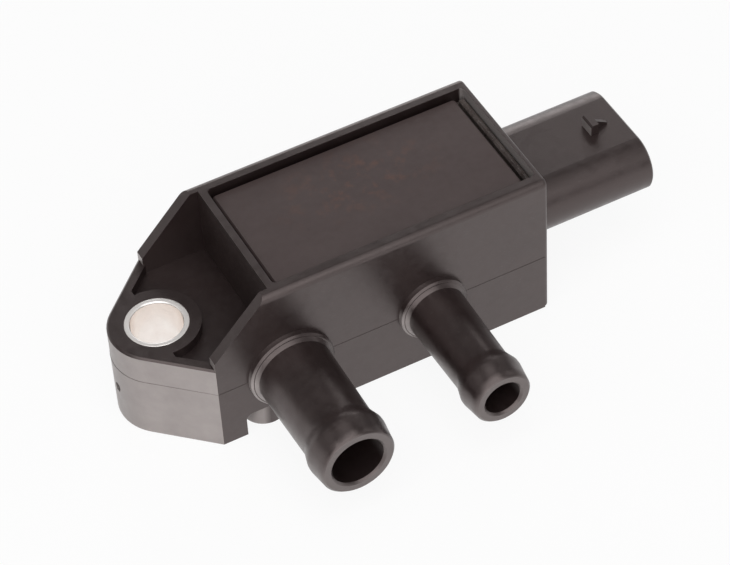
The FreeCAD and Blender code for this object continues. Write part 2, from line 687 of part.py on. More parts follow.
def lid():
    """Cover plate with a skirt that centres it in the chamber."""
    top = LID_FOOT + LID_THICKNESS
    plate = rounded_plate(LID_LEFT, LID_RIGHT, -LID_HALF_WIDTH, LID_HALF_WIDTH, LID_FOOT, top, LID_ROUND)
    plate = plate.makeChamfer(LID_EDGE, edges_at(plate, "z", top))
    left = CHAMBER_LEFT + SKIRT_GAP
    right = CHAMBER_RIGHT - SKIRT_GAP
    half = CHAMBER_HALF_WIDTH - SKIRT_GAP
    foot = LID_FOOT - SKIRT_DEPTH
    ring = rounded_plate(left, right, -half, half, foot, LID_FOOT, CHAMBER_ROUND - SKIRT_GAP)
    wall = SKIRT_WALL
    hole = rounded_plate(left + wall, right - wall, wall - half, half - wall, foot - CUT_MARGIN, LID_FOOT,
                         SKIRT_INNER_ROUND)
    return plate.fuse(ring.cut(hole)).removeSplitter()


def lid_adhesive():
    """Adhesive under the edge of the lid, with the bead that shows beside it."""
    gap = GLUE_OUTER_GAP
    half = SEAT_HALF_WIDTH - gap
    sheet = rounded_plate(SEAT_LEFT + gap, SEAT_RIGHT - gap, -half, half, SEAT_Z, LID_FOOT, SEAT_ROUND)
    opening = rounded_plate(CHAMBER_LEFT, CHAMBER_RIGHT, -CHAMBER_HALF_WIDTH, CHAMBER_HALF_WIDTH,
                            SEAT_Z - CUT_MARGIN, LID_FOOT + CUT_MARGIN, CHAMBER_ROUND)
    reach = half - BEAD_END_GAP
    bead = block(BEAD_LEFT, BEAD_RIGHT, -reach, reach, SEAT_Z, SEAT_Z + BEAD_HEIGHT)
    top = edges_at(bead, "z", SEAT_Z + BEAD_HEIGHT)
    bead = bead.makeChamfer(BEAD_EDGE, top)
    return sheet.cut(opening).fuse(bead).removeSplitter()


def circuit_board():
    """Ceramic board with the hole that feeds the sensing die."""
    half = BOARD_HALF_WIDTH
    board = block(BOARD_LEFT, BOARD_RIGHT, -half, half, BOARD_FOOT, BOARD_TOP)
    hole = Part.makeCylinder(BOARD_HOLE_RADIUS, BOARD_THICKNESS + 2 * CUT_MARGIN,
                             V(NARROW_X, 0, BOARD_FOOT - CUT_MARGIN))
    return board.cut(hole)


def board_adhesive():
    """Adhesive sheet between board and chamber floor."""
    inset = BOARD_GLUE_INSET
    half = BOARD_HALF_WIDTH - inset
    sheet = block(BOARD_LEFT + inset, BOARD_RIGHT - inset, -half, half, CHAMBER_FLOOR, BOARD_FOOT)
    hole = Part.makeCylinder(GLUE_HOLE_RADIUS, BOARD_GLUE + 2 * CUT_MARGIN,
                             V(NARROW_X, 0, CHAMBER_FLOOR - CUT_MARGIN))
    return sheet.cut(hole)


def glass_pedestal():
    """Glass block that carries the sensing die over the pressure hole."""
    shape = centred_block(NARROW_X, 0, PEDESTAL_SIZE, PEDESTAL_SIZE, BOARD_TOP, DIE_FOOT)
    bore = Part.makeCylinder(PEDESTAL_BORE_RADIUS, PEDESTAL_HEIGHT + 2 * CUT_MARGIN,
                             V(NARROW_X, 0, BOARD_TOP - CUT_MARGIN))
    return shape.cut(bore)


def sensing_die():
    """Silicon die with an etched pyramid that leaves a thin diaphragm."""
    die = centred_block(NARROW_X, 0, DIE_SIZE, DIE_SIZE, DIE_FOOT, DIE_TOP)

    def square(size, z):
        half = size / 2
        corners = [V(NARROW_X - half, -half, z), V(NARROW_X + half, -half, z)]
        corners += [V(NARROW_X + half, half, z), V(NARROW_X - half, half, z)]
        return Part.makePolygon(corners + [corners[0]])

    top = DIE_TOP - DIAPHRAGM_THICKNESS
    pit = Part.makeLoft([square(DIAPHRAGM_FOOT, DIE_FOOT), square(DIAPHRAGM_TOP, top)], True)
    return die.cut(pit)


def gel_dam():
    """Ring round the sensing stack that holds the gel."""
    x = NARROW_X
    length = DAM_LENGTH / 2
    width = DAM_WIDTH / 2
    top = BOARD_TOP + DAM_HEIGHT
    outer = rounded_plate(x - length, x + length, -width, width, BOARD_TOP, top, DAM_ROUND)
    return outer.cut(dam_inside(BOARD_TOP - CUT_MARGIN, top + CUT_MARGIN))


def dam_inside(z0, z1):
    """Space inside the gel dam between two heights."""
    length = DAM_LENGTH / 2 - DAM_WALL
    width = DAM_WIDTH / 2 - DAM_WALL
    return rounded_plate(NARROW_X - length, NARROW_X + length, -width, width, z0, z1, DAM_ROUND - DAM_WALL)


def die_land_points():
    """Centres of the four printed lands beside the sensing die."""
    points = []
    for side in (-1, 1):
        for step in (-0.5, 0.5):
            points.append((NARROW_X + side * DIE_LAND_OFFSET, step * DIE_LAND_PITCH))
    return points


def printed_conductors():
    """Printed lands and tracks on the board."""
    parts = []
    half = TRACK_WIDTH / 2
    for name, y in TERMINALS:
        land = centred_block(TERMINAL_LAND_X, y, TERMINAL_LAND_SIZE, TERMINAL_LAND_SIZE, BOARD_TOP, LAND_TOP)
        track = block(TRACK_TURN_X - half, TERMINAL_LAND_X, y - half, y + half, BOARD_TOP, LAND_TOP)
        parts.append(land.fuse(track))
    side_half = SIDE_TRACK_WIDTH / 2
    outer_y = DAM_WIDTH / 2 + SIDE_TRACK_GAP + side_half
    for side in (-1, 1):
        y = side * outer_y
        low = min(side * TERMINAL_PITCH, y) - half
        high = max(side * TERMINAL_PITCH, y) + half
        cross = block(TRACK_TURN_X - half, TRACK_TURN_X + half, low, high, BOARD_TOP, LAND_TOP)
        run = block(TRACK_END_X, TRACK_TURN_X, y - side_half, y + side_half, BOARD_TOP, LAND_TOP)
        parts.append(cross.fuse(run))
    for x, y in die_land_points():
        parts.append(centred_block(x, y, DIE_LAND_SIZE, DIE_LAND_SIZE, BOARD_TOP, LAND_TOP))
    whole = parts[0].fuse(parts[1:])
    return whole.removeSplitter()


def bond_wire(start, end, radius):
    """Wire loop that leaves both lands upright and joins them with half a ring of short straights."""
    crown = max(start.z, end.z) + WIRE_STEM
    left = V(start.x, start.y, crown)
    right = V(end.x, end.y, crown)
    centre = (left + right) * 0.5
    points = [start]
    for step in range(WIRE_STEPS + 1):
        turn = math.pi * step / WIRE_STEPS
        offset = (left - centre) * math.cos(turn)
        points.append(centre + offset + V(0, 0, left.distanceToPoint(centre) * math.sin(turn)))
    points.append(end)
    corners = []
    for index in range(WIRE_SIDES):
        turn = 2 * math.pi * index / WIRE_SIDES
        corners.append(start + V(radius * math.cos(turn), radius * math.sin(turn), 0))
    profile = Part.makePolygon(corners + [corners[0]])
    return Part.makePolygon(points).makePipeShell([profile], True, True, 1)


def die_bond_wires():
    """Four fine wires from the die to its lands."""
    wires = []
    reach = DIE_SIZE / 2 - DIE_WIRE_INSET
    for x, y in die_land_points():
        side = 1 if x > NARROW_X else -1
        start = V(NARROW_X + side * reach, y, DIE_TOP)
        wires.append(bond_wire(start, V(x, y, LAND_TOP), DIE_WIRE_RADIUS))
    return Part.makeCompound(wires)


def terminal_bond_wires():
    """Three stout wires from the terminal pads to the board."""
    wires = []
    for name, y in TERMINALS:
        start = V(TERMINAL_PAD_X + TERMINAL_WIRE_INSET, y, TERMINAL_PAD_TOP)
        wires.append(bond_wire(start, V(TERMINAL_LAND_X, y, LAND_TOP), TERMINAL_WIRE_RADIUS))
    return Part.makeCompound(wires)


def protective_gel(inside):
    """Gel fill that follows everything that stands in it and stays out of the die's pressure hole."""
    core_size = (DIAPHRAGM_FOOT + DIE_SIZE) / 2
    core = centred_block(NARROW_X, 0, core_size, core_size, BOARD_TOP, DIE_TOP - DIAPHRAGM_THICKNESS)
    return dam_inside(BOARD_TOP, BOARD_TOP + GEL_HEIGHT).cut(inside + [core])


def signal_chip():
    """Moulded chip body with bevelled upper edges."""
    foot = BOARD_TOP + CHIP_STANDOFF
    top = foot + CHIP_HEIGHT
    body = centred_block(CHIP_X, CHIP_Y, CHIP_SIZE, CHIP_SIZE, foot, top)
    return body.makeChamfer(CHIP_EDGE, edges_at(body, "z", top))


def chip_leads():
    """Gull-wing leads on two sides of the chip."""
    thick = LEAD_THICKNESS
    middle = BOARD_TOP + CHIP_STANDOFF + CHIP_HEIGHT / 2
    edge = CHIP_SIZE / 2
    out = edge + LEAD_SHOULDER
    side = [
        V(0, edge, middle - thick / 2),
        V(0, out - thick, middle - thick / 2),
        V(0, out - thick / 2, BOARD_TOP),
        V(0, out + LEAD_FOOT, BOARD_TOP),
        V(0, out + LEAD_FOOT, BOARD_TOP + thick),
        V(0, out + thick / 2, BOARD_TOP + thick),
        V(0, out, middle + thick / 2),
        V(0, edge, middle + thick / 2),
    ]
    leads = []
    for index in range(LEADS_PER_SIDE):
        x = CHIP_X + (index - (LEADS_PER_SIDE - 1) / 2) * LEAD_PITCH - LEAD_WIDTH / 2
        for direction in (-1, 1):
            points = [V(x, CHIP_Y + direction * p.y, p.z) for p in side]
            leads.append(prism(points, V(LEAD_WIDTH, 0, 0)))
    return Part.makeCompound(leads)


def passive(inset, side, height):
    """Small two-ended part lying on the board."""
    top = BOARD_TOP + height
    body = centred_block(BOARD_LEFT + inset, side * PASSIVE_Y, PASSIVE_LENGTH, PASSIVE_WIDTH, BOARD_TOP, top)
    return body.makeChamfer(PASSIVE_BEVEL, edges_at(body, "z", top))


def export(shape, name):
    """Write one node."""
    shape.exportStep("parts/" + name + ".step")


def main():
    metal_sleeve = sleeve()
    blades = [(name, terminal(y)) for name, y in TERMINALS]
    shell = housing([metal_sleeve] + [shape for name, shape in blades])
    export(shell, "housing")
    export(metal_sleeve, "compression_sleeve")
    for name, shape in blades:
        export(shape, name)
    export(lid(), "cover_lid")
    export(lid_adhesive(), "lid_adhesive")
    export(circuit_board(), "circuit_board")
    export(board_adhesive(), "board_adhesive")
    conductors = printed_conductors()
    export(conductors, "printed_conductors")
    pedestal = glass_pedestal()
    die = sensing_die()
    wires = die_bond_wires()
    export(pedestal, "glass_pedestal")
    export(die, "sensing_die")
    export(wires, "die_bond_wires")
    export(gel_dam(), "gel_dam")
    export(protective_gel([pedestal, die, conductors, wires]), "protective_gel")
    export(terminal_bond_wires(), "terminal_bond_wires")
    export(signal_chip(), "signal_chip")
    export(chip_leads(), "chip_leads")
    for name, inset, side in CAPACITORS:
        export(passive(inset, side, CAPACITOR_HEIGHT), name)
    for name, inset, side in RESISTORS:
        export(passive(inset, side, RESISTOR_HEIGHT), name)


main()
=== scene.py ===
"""Exhaust filter differential pressure sensor, dressed around its fixed solids."""

import logging
import math
from dataclasses import dataclass, field
from enum import Enum
from typing import Callable, Sequence

import bmesh
import bpy
from mathutils import Matrix, Vector, noise


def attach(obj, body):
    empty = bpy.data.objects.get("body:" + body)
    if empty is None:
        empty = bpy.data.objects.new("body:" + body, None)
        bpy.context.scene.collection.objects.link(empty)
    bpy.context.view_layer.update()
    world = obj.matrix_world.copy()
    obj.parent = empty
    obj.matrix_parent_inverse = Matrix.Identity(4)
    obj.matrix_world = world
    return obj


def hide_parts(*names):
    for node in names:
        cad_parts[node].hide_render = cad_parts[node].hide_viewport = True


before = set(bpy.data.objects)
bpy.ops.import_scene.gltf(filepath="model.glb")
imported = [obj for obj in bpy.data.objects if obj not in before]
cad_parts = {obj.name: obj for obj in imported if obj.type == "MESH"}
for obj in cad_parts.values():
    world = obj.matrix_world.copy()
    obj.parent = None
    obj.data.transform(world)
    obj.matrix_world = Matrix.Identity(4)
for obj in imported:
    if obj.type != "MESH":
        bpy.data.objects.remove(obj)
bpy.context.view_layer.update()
LOG = logging.getLogger("sensor")
# Sizes below are in millimetres unless their text says otherwise.
MM = 0.001
Point = tuple[float, float, float]
Colour = tuple[float, float, float]
Socket = bpy.types.NodeSocket


class Shade(Enum):
    """How the faces of a mesh catch the light."""

    FLAT = "flat"
    SMOOTH = "smooth"


class Grain(Enum):
    """Kinds of fine relief: features per millimetre, layers, strength of the finer ones and stretch."""

    SPARKED = (11.0, 3.0, 0.65)
    TURNED = (9.0, 2.0, 0.6, (0.05, 0.05, 1.0))
    ROLLED = (7.0, 2.0, 0.6, (0.08, 1.0, 1.0))
    FIRED = (16.0, 4.0, 0.7)
    SOFT = (1.3, 4.0, 0.5)


class Graph:
    """Small helper around the node tree of one material."""

    def __init__(self, name: str) -> None:
        """Start a material with an empty tree and a surface shader.

        Args:
            name: Name of the material.
        """
        self.material = bpy.data.materials.new(name)
        self.material.use_nodes = True
        self.tree = self.material.node_tree
        self.tree.nodes.clear()
        self.output = self.tree.nodes.new("ShaderNodeOutputMaterial")
        self.shader = self.tree.nodes.new("ShaderNodeBsdfPrincipled")
        self.tree.links.new(self.shader.outputs["BSDF"], self.output.inputs["Surface"])

    def node(self, kind: str, **values: object) -> bpy.types.Node:
        """Add a node and set its properties or sockets by name.

        Args:
            kind: Node type without its ShaderNode prefix.
            values: Properties, or sockets with underscores for spaces.

        Returns:
            The new node.
        """
        made = self.tree.nodes.new("ShaderNode" + kind)
        for key, value in values.items():
            if hasattr(made, key):
                setattr(made, key, value)
            else:
                made.inputs[key.replace("_", " ")].default_value = value
        return made

    def link(self, source: Socket, target: Socket) -> None:
        """Join two sockets."""
        self.tree.links.new(source, target)

    def place(self, scale: Sequence[float] = (1.0, 1.0, 1.0)) -> Socket:
        """Object coordinates in millimetres, stretched by a scale.

        Args:
            scale: Stretch along X, Y and Z.

        Returns:
            The vector socket.
        """
        coords = self.node("TexCoord")
        mapping = self.node("Mapping")
        mapping.inputs["Scale"].default_value = [s / MM for s in scale]
        self.link(coords.outputs["Object"], mapping.inputs["Vector"])
        return mapping.outputs["Vector"]

    def split(self, kind: str) -> bpy.types.Node:
        """Split a coordinate of the surface into X, Y and Z.

        Args:
            kind: Name of the coordinate, Object or Normal.

        Returns:
            The node with the three values.
        """
        parts = self.node("SeparateXYZ")
        self.link(self.node("TexCoord").outputs[kind], parts.inputs[0])
        return parts

    def noise(self, scale: float, detail: float = 3.0, rough: float = 0.55,
              stretch: Sequence[float] = (1.0, 1.0, 1.0)) -> Socket:
        """Noise with features per millimetre.

        Args:
            scale: Features per millimetre.
            detail: Layers of finer noise.
            rough: Strength of the finer layers.
            stretch: Stretch of the pattern along the axes.

        Returns:
            The factor socket.
        """
        made = self.node("TexNoise", Scale=scale, Detail=detail, Roughness=rough)
        self.link(self.place(stretch), made.inputs["Vector"])
        return made.outputs["Fac"]

    def ramp(self, source: Socket, stops: Sequence[tuple[float, Sequence[float]]]) -> Socket:
        """Colour ramp over a factor.

        Args:
            source: Factor socket.
            stops: Positions with their linear colours.

        Returns:
            The colour socket.
        """
        made = self.node("ValToRGB")
        band = made.color_ramp
        while len(band.elements) < len(stops):
            band.elements.new(0.5)
        for element, (position, colour) in zip(band.elements, stops):
            element.position = position
            element.color = (*colour, 1.0)
        self.link(source, made.inputs["Fac"])
        return made.outputs["Color"]

    def spread(self, source: Socket, low: float, high: float,
               start: float = 0.3, end: float = 0.7) -> Socket:
        """Map a factor to a range of values.

        Args:
            source: Factor socket.
            low: Value at the start.
            high: Value at the end.
            start: Factor that gives the low value.
            end: Factor that gives the high value.

        Returns:
            The value socket.
        """
        made = self.node("MapRange")
        ends = {"From Min": start, "From Max": end, "To Min": low, "To Max": high}
        for key, value in ends.items():
            made.inputs[key].default_value = value
        self.link(source, made.inputs["Value"])
        return made.outputs["Result"]

    def math(self, operation: str, first: Socket, second: Socket | float) -> Socket:
        """Combine two values.

        Args:
            operation: Name of the operation.
            first: First value.
            second: Second value, or a number.

        Returns:
            The value socket.
        """
        made = self.node("Math", operation=operation)
        self.link(first, made.inputs[0])
        if isinstance(second, float):
            made.inputs[1].default_value = second
        else:
            self.link(second, made.inputs[1])
        return made.outputs["Value"]

    def blend(self, factor: Socket, first: Socket, second: Sequence[float]) -> Socket:
        """Blend a colour towards a second one.

        Args:
            factor: Share of the second colour.
            first: First colour socket.
            second: Second colour, linear.

        Returns:
            The colour socket.
        """
        made = self.node("Mix", data_type="RGBA")
        self.link(factor, made.inputs[0])
        self.link(first, made.inputs[6])
        made.inputs[7].default_value = (*second, 1.0)
        return made.outputs[2]

    def bump(self, height: Socket, depth_mm: float, strength: float = 1.0) -> None:
        """Add relief to the surface shader, on top of any that it has.

        Args:
            height: Height socket from 0 to 1.
            depth_mm: Real depth of the relief.
            strength: Share of the relief that shows.
        """
        made = self.node("Bump", Strength=strength)
        made.inputs["Distance"].default_value = depth_mm * MM
        self.link(height, made.inputs["Height"])
        socket = self.shader.inputs["Normal"]
        if socket.is_linked:
            self.link(socket.links[0].from_socket, made.inputs["Normal"])
        self.link(made.outputs["Normal"], socket)


@dataclass(frozen=True)
class Finish:
    """A finish with a base colour that varies, and a grain.

    Attributes:
        name: Name of the material.
        dark: Linear colour of the darker places.
        light: Linear colour of the lighter places.
        rough: Lowest and highest roughness.
        grain: Kind of fine relief.
        grain_depth: Depth of that relief in millimetres.
        metal: Share of bare metal.
        bend: Refractive index of the skin.
        tint: Colour of its reflections.
    """

    name: str
    dark: Colour
    light: Colour
    rough: tuple[float, float] = (0.45, 0.6)
    grain: Grain = Grain.SPARKED
    grain_depth: float = 0.01
    metal: float = 0.0
    bend: float = 1.5
    tint: Colour = (1.0, 1.0, 1.0)

    def relief(self, graph: Graph) -> Socket:
        """Height pattern of the grain."""
        return graph.noise(*self.grain.value)

    def colour(self, graph: Graph) -> Socket:
        """Colour pattern of the finish."""
        return graph.ramp(graph.noise(0.35, 5.0, 0.6), ((0.3, self.dark), (0.7, self.light)))

    def build(self) -> bpy.types.Material:
        """Make the material.

        Returns:
            The new material.
        """
        graph = Graph(self.name)
        shader = graph.shader
        shader.inputs["Metallic"].default_value = self.metal
        shader.inputs["IOR"].default_value = self.bend
        shader.inputs["Specular Tint"].default_value = (*self.tint, 1.0)
        graph.link(self.colour(graph), shader.inputs["Base Color"])
        graph.link(graph.spread(graph.noise(0.9, 2.0, 0.5), *self.rough), shader.inputs["Roughness"])
        graph.bump(self.relief(graph), self.grain_depth)
        self.extra(graph)
        return graph.material

    def extra(self, graph: Graph) -> None:
        """Hook for what only one kind of finish has."""


@dataclass(frozen=True)
class MouldedPlastic(Finish):
    """Glass filled plastic: spark grain, flow mottling, fine pale fibres and lighter outer edges, partly
    handling wear and partly a painted highlight.

    Attributes:
        fibre: Linear colour of the fibres that show at the skin.
        edge_wear_and_highlight: Linear colour of the outer edges, partly handling wear and partly a painted
            highlight.
        edge_mm: Width over which the outer edges are lightened.
    """

    fibre: Colour = (0.06, 0.055, 0.052)
    # Lighter edge colour: partly handling wear, partly a painted highlight where edges catch the light.
    edge_wear_and_highlight: Colour = (0.032, 0.025, 0.0235)
    edge_mm: float = 0.12

    def colour(self, graph: Graph) -> Socket:
        """Mottled colour with fibres and lighter outer edges, partly wear and partly a painted highlight.

        Args:
            graph: Graph of the material.

        Returns:
            The colour socket.
        """
        flow = graph.noise(0.16, 6.0, 0.62, (0.6, 1.0, 1.4))
        base = graph.ramp(flow, ((0.32, self.dark), (0.68, self.light)))
        fibres = graph.noise(6.5, 2.0, 0.5, (0.35, 1.0, 1.0))
        speck = graph.spread(fibres, 0.0, 0.35, 0.62, 0.78)
        base = graph.blend(speck, base, self.fibre)
        # Patchy lightening of the outer edges: partly wear, partly a painted highlight.
        edge_patches = graph.spread(graph.noise(0.8, 4.0), 0.25, 0.8)
        edges = graph.math("MULTIPLY", self.edge_mask(graph), edge_patches)
        return graph.blend(edges, base, self.edge_wear_and_highlight)

    def edge_mask(self, graph: Graph) -> Socket:
        """Mask that is high along outer edges and low in inner corners.

        Args:
            graph: Graph of the material.

        Returns:
            The mask socket.
        """
        depth = graph.node("AmbientOcclusion", samples=6, inside=True, only_local=True)
        depth.inputs["Distance"].default_value = self.edge_mm * MM
        return graph.spread(depth.outputs["AO"], 1.0, 0.0, 0.55, 0.92)

    def extra(self, graph: Graph) -> None:
        """Soft waviness from cooling."""
        graph.bump(graph.noise(0.22, 3.0), 0.05, 0.6)


@dataclass(frozen=True)
class SheenPaintedPlastic(MouldedPlastic):
    """Housing plastic with a painted sheen on the upright faces of its left end: a pale painted reflection of
    the bright floor.

    Attributes:
        painted_sheen: Linear colour of the painted sheen, the pale painted reflection of the bright floor.
        front_y: Stretch before the front wall over which the painted sheen thins out towards the nipples, as
            painted shade where they hide the floor.
        front_share: Share of the painted sheen on the nipples.
        clear_z: Height above which the block's left wall has no painted sheen.
        wall_x: Place of that wall.
        wall_reach: How far from that place it still is the wall.
        ends_y: Place in front of which the end faces of the nipples get a pale painted reflection.
        end_sheen: Share of the painted sheen on those faces.
    """

    # Painted sheen: pale colour that stands in for the bright floor reflected in the faces that look left.
    painted_sheen: Colour = (0.33, 0.3, 0.29)
    front_y: tuple[float, float] = (-13.0, -11.6)
    front_share: float = 0.25
    clear_z: float = 11.6
    wall_x: float = 10.9
    wall_reach: float = 0.4
    ends_y: float = -27.0
    end_sheen: float = 0.25

    def left_faces(self, graph: Graph, normal: bpy.types.Node, place: bpy.types.Node) -> Socket:
        """Share of the painted sheen on upright faces that look left.

        Args:
            graph: Graph of the material.
            normal: Direction of the surface, split.
            place: Place on the object, split.

        Returns:
            The share socket.
        """
        left = graph.spread(normal.outputs["X"], 1.0, 0.0, -0.42, -0.12)
        slanted = graph.spread(normal.outputs["X"], 0.8, 1.0, -1.0, -0.7)
        upright = graph.spread(normal.outputs["Z"], 1.0, 0.0, 0.05, 0.4)
        fade = [y * MM for y in self.front_y]
        # Painted shade: the sheen thins out where the nipples hide the floor.
        near = graph.spread(place.outputs["Y"], self.front_share, 1.0, *fade)
        facing = graph.math("MULTIPLY", left, slanted)
        return graph.math("MULTIPLY", facing, graph.math("MULTIPLY", upright, near))

    def clear_wall(self, graph: Graph, place: bpy.types.Node) -> Socket:
        """Mask of the upper part of the block's left wall.

        Args:
            graph: Graph of the material.
            place: Place on the object, split.

        Returns:
            The mask socket.
        """
        above = graph.math("GREATER_THAN", place.outputs["Z"], self.clear_z * MM)
        wall = graph.node("Math", operation="COMPARE")
        graph.link(place.outputs["X"], wall.inputs[0])
        wall.inputs[1].default_value = self.wall_x * MM
        wall.inputs[2].default_value = self.wall_reach * MM
        return graph.math("MULTIPLY", above, wall.outputs["Value"])

    def nipple_ends(self, graph: Graph, normal: bpy.types.Node, place: bpy.types.Node) -> Socket:
        """Share of the painted sheen on the end faces of the nipples.

        Args:
            graph: Graph of the material.
            normal: Direction of the surface, split.
            place: Place on the object, split.

        Returns:
            The share socket.
        """
        # Painted reflection: end faces of the nipples that look to the front get part of the pale sheen.
        facing = graph.spread(normal.outputs["Y"], self.end_sheen, 0.0, -0.9, -0.6)
        in_front = graph.math("LESS_THAN", place.outputs["Y"], self.ends_y * MM)
        return graph.math("MULTIPLY", facing, in_front)

    def colour(self, graph: Graph) -> Socket:
        """Moulded colour with the painted sheen over it.

        Args:
            graph: Graph of the material.

        Returns:
            The colour socket.
        """
        base = super().colour(graph)
        normal = graph.split("Normal")
        place = graph.split("Object")
        bare = graph.spread(self.clear_wall(graph, place), 1.0, 0.0, 0.4, 0.6)
        share = graph.math("MULTIPLY", self.left_faces(graph, normal, place), bare)
        share = graph.math("MAXIMUM", share, self.nipple_ends(graph, normal, place))
        share = graph.math("MULTIPLY", share, graph.spread(graph.noise(0.3, 5.0, 0.6), 0.8, 1.0))
        # Paint the sheen: blend the plastic towards the pale painted reflection where the mask is high.
        return graph.blend(share, base, self.painted_sheen)


@dataclass(frozen=True)
class HazedPlastic(MouldedPlastic):
    """Lid plastic with a faint brown haze on its middle.

    Attributes:
        haze: Linear colour of the haze.
        centre: Middle of the haze.
        reach: Half length and half width of the haze.
    """

    haze: Colour = (0.115, 0.052, 0.034)
    centre: tuple[float, float] = (29.0, 2.0)
    reach: tuple[float, float] = (11.0, 5.6)

    def colour(self, graph: Graph) -> Socket:
        """Moulded colour with the haze over it.

        Args:
            graph: Graph of the material.

        Returns:
            The colour socket.
        """
        base = super().colour(graph)
        coords = graph.node("TexCoord")
        mapping = graph.node("Mapping")
        slide = [-middle / half for middle, half in zip(self.centre, self.reach)]
        mapping.inputs["Scale"].default_value = [1 / (half * MM) for half in self.reach] + [0.0]
        mapping.inputs["Location"].default_value = slide + [0.0]
        graph.link(coords.outputs["Object"], mapping.inputs["Vector"])
        length = graph.node("VectorMath", operation="LENGTH")
        graph.link(mapping.outputs["Vector"], length.inputs[0])
        soft = graph.spread(length.outputs["Value"], 0.55, 0.0, 0.3, 1.2)
        patches = graph.spread(graph.noise(0.5, 6.0, 0.65), 0.0, 1.0, 0.5, 0.64)
        return graph.blend(graph.math("MULTIPLY", soft, patches), base, self.haze)


@dataclass(frozen=True)
class BrightMetal(Finish):
    """Bare or plated metal with tool marks."""

    grain: Grain = Grain.TURNED
    metal: float = 1.0
    rough: tuple[float, float] = (0.18, 0.34)
    grain_depth: float = 0.006


@dataclass(frozen=True)
class SleeveMetal(BrightMetal):
    """Polished bore under a finely turned, duller face.

    Attributes:
        face_z: Height at which the dull face starts.
        face_fade: Height over which the metal dulls.
        face_metal: Share of bare metal on that face.
    """

    face_z: float = 13.1
    face_fade: float = 0.1
    face_metal: float = 0.4

    def extra(self, graph: Graph) -> None:
        """Dull the upper face.

        Args:
            graph: Graph of the material.
        """
        height = graph.split("Object").outputs["Z"]
        fade = (self.face_z * MM, (self.face_z + self.face_fade) * MM)
        share = graph.spread(height, self.metal, self.face_metal, *fade)
        graph.link(share, graph.shader.inputs["Metallic"])


@dataclass(frozen=True)
class ClearFill(Finish):
    """Clear glass or gel.

    Attributes:
        clear: Share of light that passes.
    """

    clear: float = 0.9

    def extra(self, graph: Graph) -> None:
        """Let light through."""
        graph.shader.inputs["Transmission Weight"].default_value = self.clear


class Palette:
    """All finishes of the sensor, and the materials made from them."""

    housing = SheenPaintedPlastic("housing_plastic", (0.0105, 0.0062, 0.006), (0.016, 0.0098, 0.0094), (0.3, 0.4),
                             grain_depth=0.006, bend=1.85, tint=(1.0, 0.85, 0.83))
    lid = HazedPlastic("lid_plastic", (0.048, 0.0325, 0.0315), (0.058, 0.041, 0.0395), (0.44, 0.58),
                       grain_depth=0.012, tint=(1.0, 0.9, 0.88))
    stub = MouldedPlastic("torn_plastic", (0.03, 0.02, 0.017), (0.09, 0.065, 0.055), (0.5, 0.7),
                          grain_depth=0.03)
    dam = MouldedPlastic("dam_plastic", (0.05, 0.05, 0.05), (0.09, 0.09, 0.09))
    chip = MouldedPlastic("chip_plastic", (0.02, 0.02, 0.022), (0.045, 0.045, 0.05))
    adhesive = MouldedPlastic("adhesive", (0.03, 0.022, 0.02), (0.085, 0.068, 0.062), (0.25, 0.4), Grain.SOFT,
                              0.25, fibre=(0.5, 0.47, 0.43), edge_wear_and_highlight=(0.2, 0.17, 0.16))
    sleeve = SleeveMetal("sleeve_metal", (0.95, 0.9, 0.87), (0.995, 0.965, 0.94), (0.12, 0.22),
                         grain_depth=0.0015)
    terminal = BrightMetal("terminal_metal", (0.62, 0.58, 0.5), (0.8, 0.77, 0.7), grain=Grain.ROLLED)
    conductor = BrightMetal("conductor_metal", (0.62, 0.48, 0.24), (0.82, 0.68, 0.38), (0.3, 0.5),
                            Grain.FIRED)
    gold = BrightMetal("gold_wire", (0.8, 0.58, 0.22), (0.95, 0.75, 0.35), (0.15, 0.25))
    wire = BrightMetal("aluminium_wire", (0.75, 0.75, 0.76), (0.9, 0.9, 0.92), (0.15, 0.3))
    lead = BrightMetal("lead_metal", (0.6, 0.6, 0.59), (0.78, 0.78, 0.77), grain=Grain.ROLLED)
    silicon = BrightMetal("die_silicon", (0.2, 0.22, 0.27), (0.32, 0.34, 0.38), (0.06, 0.14),
                          Grain.FIRED, 0.001)
    board = Finish("board_ceramic", (0.72, 0.71, 0.66), (0.86, 0.85, 0.8), (0.55, 0.75), Grain.FIRED, 0.006)
    capacitor = Finish("capacitor_ceramic", (0.4, 0.3, 0.2), (0.6, 0.48, 0.33), (0.35, 0.5),
                       Grain.FIRED, 0.004)
    resistor = Finish("resistor_ceramic", (0.03, 0.03, 0.035), (0.08, 0.08, 0.09), (0.25, 0.4),
                      Grain.FIRED, 0.004)
    glass = ClearFill("pedestal_glass", (0.78, 0.86, 0.82), (0.9, 0.95, 0.93), (0.15, 0.35),
                      Grain.FIRED, 0.004, clear=0.7, bend=1.47)
    gel = ClearFill("clear_gel", (0.86, 0.86, 0.82), (0.96, 0.96, 0.94), (0.03, 0.1), Grain.SOFT, 0.02,
                    clear=0.95, bend=1.41)

    def __init__(self) -> None:
        """Start with no material made."""
        self.made: dict[str, bpy.types.Material] = {}

    def get(self, finish: Finish) -> bpy.types.Material:
        """Material of a finish, made on first use.

        Args:
            finish: The finish.

        Returns:
            Its material.
        """
        if finish.name not in self.made:
            self.made[finish.name] = finish.build()
        return self.made[finish.name]


